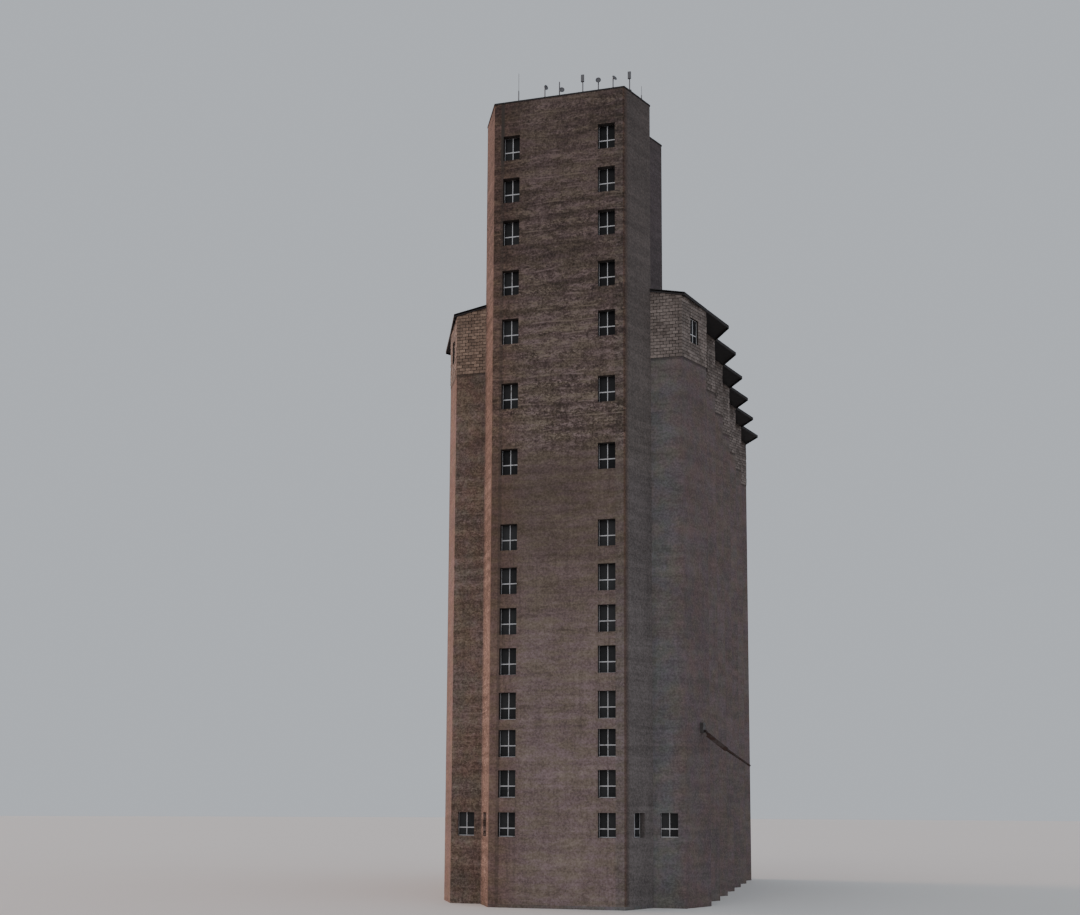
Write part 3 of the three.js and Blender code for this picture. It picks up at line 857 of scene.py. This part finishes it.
class SILO_OT_blockwork(bpy.types.Operator):
    """Lays the gallery's block courses on its walls"""

    bl_idname = "silo.blockwork"
    bl_label = "Blockwork"

    def unit_block(self):
        block = begin(bpy.ops.mesh.primitive_cube_add, "block", size=1.0, location=(0.5, 0.5, 0.5))
        edit(block)
        pick_faces(block, lambda middle, normal: normal.y < -0.9)
        bpy.ops.mesh.delete(type="FACE")
        pick_faces(block, lambda middle, normal: normal.y > 0.9)
        bpy.ops.mesh.bevel(offset=0.06, segments=1, affect="EDGES")
        rest()
        return block

    def execute(self, context):
        s = context.scene.silo_blocks
        dress(cad_nodes("gallery_front", "gallery_wall", "gallery_rear"), mortar_finish(s.mortar, s.filled))
        material = block_finish(s.dark, s.light, s.left, s.right)
        line = cell_line()
        last = len(line) - 2
        walls = {
            "front_blocks": [0, last],
            "right_blocks": range(1, REAR_WALL),
            "rear_blocks": [REAR_WALL],
            "left_blocks": range(REAR_WALL + 1, last),
        }
        lowest_left = 0.014
        half = context.scene.silo_windows.gallery_width / 2
        for seed, (name, stretches) in enumerate(walls.items()):
            chance = random.Random(seed)
            places = []
            for i in stretches:
                start, end = (spot(*point) for point in (line[i], line[i + 1]))
                run = (end - start).length
                along = (end - start) / run
                outward = Vector((along.y, -along.x, 0.0))
                hole = None
                if name in ("right_blocks", "left_blocks"):
                    hole = (run / 2 - half, run / 2 + half, GALLERY_SILL * METRE, GALLERY_HEAD * METRE)
                for rect in course_blocks(run, s, hole, i):
                    ends = [start + along * rect[0], start + along * rect[1]]
                    if rect[2] > min(under_roof(end.x) for end in ends) - lowest_left:
                        continue
                    proud = s.proud * chance.uniform(0.35, 1.3)
                    places.append(block_place(rect, run, start, along, outward, proud, s))
            blocks = repeated(self.unit_block(), f"gallery_{name}", places)
            toned(blocks, len(places), seed)
            finished(blocks, material)
        return {"FINISHED"}


def zigzag(v, valley, tip):
    """Half-width of a zig-zag line at a distance v back, in real metres."""
    phase = 1 - abs(v / FACET_DEPTH % 2 - 1)
    return valley + (tip - valley) * phase


def eaves_at(v):
    """Half-width of the roof's zig-zag eaves at a distance v back."""
    past_corner, past_wall_tip = 0.2, 0.1
    corner = WING_HALF_WIDTH + past_corner
    notch = WING_HALF_WIDTH + FACET_SPREAD + past_wall_tip
    if v < 2 * FACET_DEPTH or v > BODY_DEPTH - FACET_DEPTH:
        gone = (v - FACET_DEPTH) if v < 2 * FACET_DEPTH else (BODY_DEPTH - v)
        return corner + max(gone, 0.0) / FACET_DEPTH * (notch - corner)
    return zigzag(v, notch, WING_HALF_WIDTH + 2 * FACET_SPREAD)


def tower_side_at(v):
    return zigzag(v, FRONT_HALF_WIDTH, FRONT_HALF_WIDTH + FACET_SPREAD)


class SILO_OT_roofing(bpy.types.Operator):
    """Covers the gallery roof with corrugated sheets, caps its ridge and boards its edges"""

    bl_idname = "silo.roofing"
    bl_label = "Roofing"

    def slope(self, name, side, near, far, inner, s):
        """Sheets from the inner line to the eaves: a grid whose points rise and fall as waves."""
        waves = round((far - near) * METRE / s.pitch)
        widest = (WING_HALF_WIDTH + 2 * FACET_SPREAD) * METRE
        steps = 2 * math.ceil(widest / s.sheet) - 1
        add = bpy.ops.mesh.primitive_grid_add
        piece = begin(add, name, size=1.0, x_subdivisions=steps, y_subdivisions=waves * s.waves)
        clear, thickness = 0.004, 0.003
        for vert in piece.data.vertices:
            step = round((vert.co.x + 0.5) * steps)
            down = ((step + 1) // 2) * s.sheet
            lap = 0.0 if step % 2 else clear
            v = near + (vert.co.y + 0.5) * (far - near)
            eaves = eaves_at(v) * METRE
            x = min(max(down, inner(v) * METRE), eaves)
            swell = math.sin(2 * math.pi * waves * (vert.co.y + 0.5)) * s.swell
            height = RIDGE_HEIGHT * METRE - ROOF_FALL * x + s.swell + clear + lap + swell
            vert.co = (side * x, spot(0, v).y, height)
        edit_all(piece)
        bpy.ops.mesh.remove_doubles(threshold=0.0005)
        bpy.ops.mesh.dissolve_degenerate(threshold=0.0005)
        bpy.ops.mesh.select_all(action="SELECT")
        bpy.ops.mesh.normals_make_consistent(inside=False)
        rest()
        if piece.data.polygons[0].normal.z < 0:
            piece.data.flip_normals()
        apply(piece, "SOLIDIFY", thickness=thickness, offset=-1.0)
        return piece

    def execute(self, context):
        s = context.scene.silo_roof
        sheets = roof_finish("roof_sheets", s.shade, s.worn)
        # Painted shade: the edge boards and the roof slabs take the near-black edge colour, for the shade
        # under the eaves.
        edge = roof_finish("roof_edge", s.edge, shaded(s.edge, 1.8))
        dress(cad_nodes("gallery_roof", "tower_roof"), edge)
        from_tower, from_ridge = 0.01, 0.02
        behind = TOWER_DEPTH + 0.02
        for name, side in (("right", 1), ("left", -1)):
            parts = [
                self.slope("sheets", side, ROOF_FRONT, behind, lambda v: tower_side_at(v) + from_tower, s),
                self.slope("sheets", side, behind, ROOF_REAR, lambda v: from_ridge, s),
            ]
            finished(joined(f"roof_sheets_{name}", parts), sheets)
        finished(self.ridge(behind + 0.1, ROOF_REAR), sheets)
        boards = [self.edge_board(side, s) for side in (1, -1)]
        finished(joined("roof_edge_boards", boards), edge)
        return {"FINISHED"}

    def edge_board(self, side, s):
        """A board on edge along the front edge of a slope and on along its zig-zag eaves."""
        bends = [i * FACET_DEPTH for i in range(2, REAR_WALL)]
        eaves = [ROOF_FRONT, *bends, BODY_DEPTH + 0.1]
        beside_tower = (tower_side_at(ROOF_FRONT) + 0.02, ROOF_FRONT)
        corners = [beside_tower] + [(eaves_at(v) + 0.004, v) for v in eaves]
        count = len(corners)
        add = bpy.ops.mesh.primitive_grid_add
        board = begin(add, "edge_board", size=1.0, x_subdivisions=count - 1, y_subdivisions=1)
        for vert in board.data.vertices:
            u, v = corners[round((vert.co.x + 0.5) * (count - 1))]
            top = RIDGE_HEIGHT - ROOF_FALL * u + s.cover / METRE
            vert.co = spot(side * u, v, top if vert.co.y > 0 else top - s.board / METRE)
        outward = board.data.polygons[-1].normal.x * side > 0
        apply(board, "SOLIDIFY", thickness=0.02, offset=-1.0 if outward else 1.0, use_even_offset=True)
        edit_all(board)
        bpy.ops.mesh.normals_make_consistent(inside=False)
        rest()
        return board

    def ridge(self, near, far):
        """A folded cap over the ridge, with a rounded top."""
        width, fold, rise = 0.34, 0.05, 0.05
        run = (far - near) * METRE
        middle = spot(0, (near + far) / 2, RIDGE_HEIGHT)
        cap = begin(bpy.ops.mesh.primitive_plane_add, "ridge_cap", size=1.0, location=middle)
        edit_all(cap)
        bpy.ops.transform.resize(value=(width, run, 1.0), center_override=middle)
        for x in (-fold, 0.0, fold):
            cut((x, 0, 0), (1, 0, 0))
        rest()
        for vert in cap.data.vertices:
            off = abs(vert.co.x)
            crown = 0.03 if off < fold / 2 else 0.02 if off < fold * 1.5 else 0.0
            vert.co.z += rise + crown - ROOF_FALL * off
        apply(cap, "SOLIDIFY", thickness=0.006, offset=-1.0)
        return cap


class SILO_OT_tower_roof(bpy.types.Operator):
    """Adds the metal edge round the tower's roof"""

    bl_idname = "silo.tower_roof"
    bl_label = "Tower roof edge"

    def execute(self, context):
        s = context.scene.silo_roof
        past_wall, width, thickness = 0.036, 0.07, 0.008
        line = tower_line()
        add = bpy.ops.mesh.primitive_circle_add
        piece = begin(add, "tower_roof_edge", vertices=len(line), radius=1.0, fill_type="NGON")
        for vert, (u, v) in zip(piece.data.vertices, line):
            side = math.copysign(1, u)
            back = (0.0 < v) - (v < TOWER_DEPTH)
            vert.co = spot(u + side * past_wall, v + back * past_wall, TOWER_TOP)
        edit_all(piece)
        bpy.ops.mesh.normals_make_consistent(inside=False)
        bpy.ops.mesh.inset(thickness=width, use_individual=False)
        bpy.ops.mesh.delete(type="FACE")
        rest()
        apply(piece, "SOLIDIFY", thickness=thickness, offset=0.0)
        # The flashing is a little lighter than the roof's edge, whose near black is painted shade.
        metal = roof_finish("tower_roof_flashing", shaded(s.edge, 1.4), s.worn)
        finished(piece, metal)
        return {"FINISHED"}


class SILO_OT_aerials(bpy.types.Operator):
    """Finishes the aerials on the tower roof"""

    bl_idname = "silo.aerials"
    bl_label = "Aerials"

    def execute(self, context):
        s = context.scene.silo_metal
        zinc = steel_finish("galvanised_steel", s.zinc, s.zinc_rust, cover=0.68, metallic=0.6)
        paint = steel_finish("aerial_paint", s.paint, s.paint_rust, cover=0.7, metallic=0.1)
        dress(cad_nodes("whip"), zinc)
        dress(cad_nodes("small_dish", "dish", "tilted", "panel"), paint)
        return {"FINISHED"}


class SILO_OT_spout(bpy.types.Operator):
    """Finishes the outlet box and the loading spout"""

    bl_idname = "silo.spout"
    bl_label = "Loading spout"

    def execute(self, context):
        s = context.scene.silo_metal
        rust = steel_finish("rusty_steel", s.spout, s.spout_rust, cover=0.5, metallic=0.3)
        grey = steel_finish("grey_steel", s.outlet, s.outlet_rust, cover=0.56, metallic=0.2)
        dress(cad_nodes("loading_spout"), rust)
        dress(cad_nodes("outlet_box"), grey)
        return {"FINISHED"}


class SILO_OT_stage(bpy.types.Operator):
    """Sets the studio floor, the soft lights and the camera"""

    bl_idname = "silo.stage"
    bl_label = "Stage"

    def light(self, name, towards, strength, softness, tone):
        """A broad, soft light that shines in one direction."""
        data = bpy.data.lights.new(name, "SUN")
        data.energy = strength
        data.angle = softness
        data.color = tone
        lamp = bpy.data.objects.new(name, data)
        bpy.context.scene.collection.objects.link(lamp)
        lamp.rotation_euler = Vector(towards).to_track_quat("-Z", "Y").to_euler()

    def camera(self):
        """Stands the camera where the photograph was taken from, fitted to the building's corners."""
        stand = spot(16.893, -70.375, 5.66)
        yaw, pitch, roll = 0.249, 0.1081, 0.005
        focal_px, centre_px = 1242.0, 675.0
        wide, high = 1080, 915
        data = bpy.data.cameras.new("camera")
        data.sensor_width = 36.0
        data.lens = focal_px / wide * data.sensor_width
        data.shift_y = (centre_px - high / 2) / wide
        data.clip_end = 2000.0
        camera = bpy.data.objects.new("camera", data)
        bpy.context.scene.collection.objects.link(camera)
        ahead = Vector((-math.sin(yaw), math.cos(yaw), 0.0))
        right = Vector((math.cos(yaw), math.sin(yaw), 0.0))
        forward = ahead * math.cos(pitch) + Vector((0, 0, 1)) * math.sin(pitch)
        above = Vector((0, 0, 1)) * math.cos(pitch) - ahead * math.sin(pitch)
        across = right * math.cos(roll) + above * math.sin(roll)
        upward = above * math.cos(roll) - right * math.sin(roll)
        turn = Matrix((across, upward, -forward)).transposed()
        camera.matrix_world = Matrix.Translation(stand) @ turn.to_4x4()
        bpy.context.scene.camera = camera

    def execute(self, context):
        s = context.scene.silo_stage
        add = bpy.ops.mesh.primitive_circle_add
        floor = begin(add, "studio_floor", vertices=96, radius=400, fill_type="NGON")
        floor.data.materials.append(floor_finish(s.floor))
        world = bpy.data.worlds.new("studio")
        world.use_nodes = True
        backdrop = world.node_tree.nodes["Background"]
        backdrop.inputs["Color"].default_value = colour(s.sky)
        backdrop.inputs["Strength"].default_value = s.strength
        context.scene.world = world
        self.light("left_light", (1.0, -0.12, -0.1), s.left, 0.5, s.warm)
        self.light("front_light", (0.12, 1.0, -0.35), s.front, 1.0, (1.0, 0.95, 0.9))
        self.light("right_light", (-1.0, 0.3, -0.25), s.right, 1.0, s.cool)
        self.camera()
        return {"FINISHED"}


OPERATORS = (
    SILO_OT_concrete,
    SILO_OT_windows,
    SILO_OT_blockwork,
    SILO_OT_roofing,
    SILO_OT_tower_roof,
    SILO_OT_aerials,
    SILO_OT_spout,
    SILO_OT_stage,
)


class SILO_PT_panel(bpy.types.Panel):
    """Lists the silo's pieces and their settings"""

    bl_idname = "SILO_PT_panel"
    bl_label = "Concrete silo"
    bl_space_type = "VIEW_3D"
    bl_region_type = "UI"
    bl_category = "Silo"

    def draw(self, context):
        for operator in OPERATORS:
            self.layout.operator(operator.bl_idname)
        for name, group in SETTINGS.items():
            box = self.layout.box()
            for key in group.__annotations__:
                box.prop(getattr(context.scene, name), key)


def register():
    for group in SETTINGS.values():
        bpy.utils.register_class(group)
    for name, group in SETTINGS.items():
        setattr(bpy.types.Scene, name, PointerProperty(type=group))
    for operator in OPERATORS:
        bpy.utils.register_class(operator)
    bpy.utils.register_class(SILO_PT_panel)


def unregister():
    bpy.utils.unregister_class(SILO_PT_panel)
    for operator in reversed(OPERATORS):
        bpy.utils.unregister_class(operator)
    for name, group in SETTINGS.items():
        delattr(bpy.types.Scene, name)
        bpy.utils.unregister_class(group)


def main():
    register()
    bpy.ops.silo.concrete()
    bpy.ops.silo.windows()
    bpy.ops.silo.blockwork()
    bpy.ops.silo.roofing()
    bpy.ops.silo.tower_roof()
    bpy.ops.silo.aerials()
    bpy.ops.silo.spout()
    bpy.ops.silo.stage()
    rest()


if __name__ == "__main__":
    main()
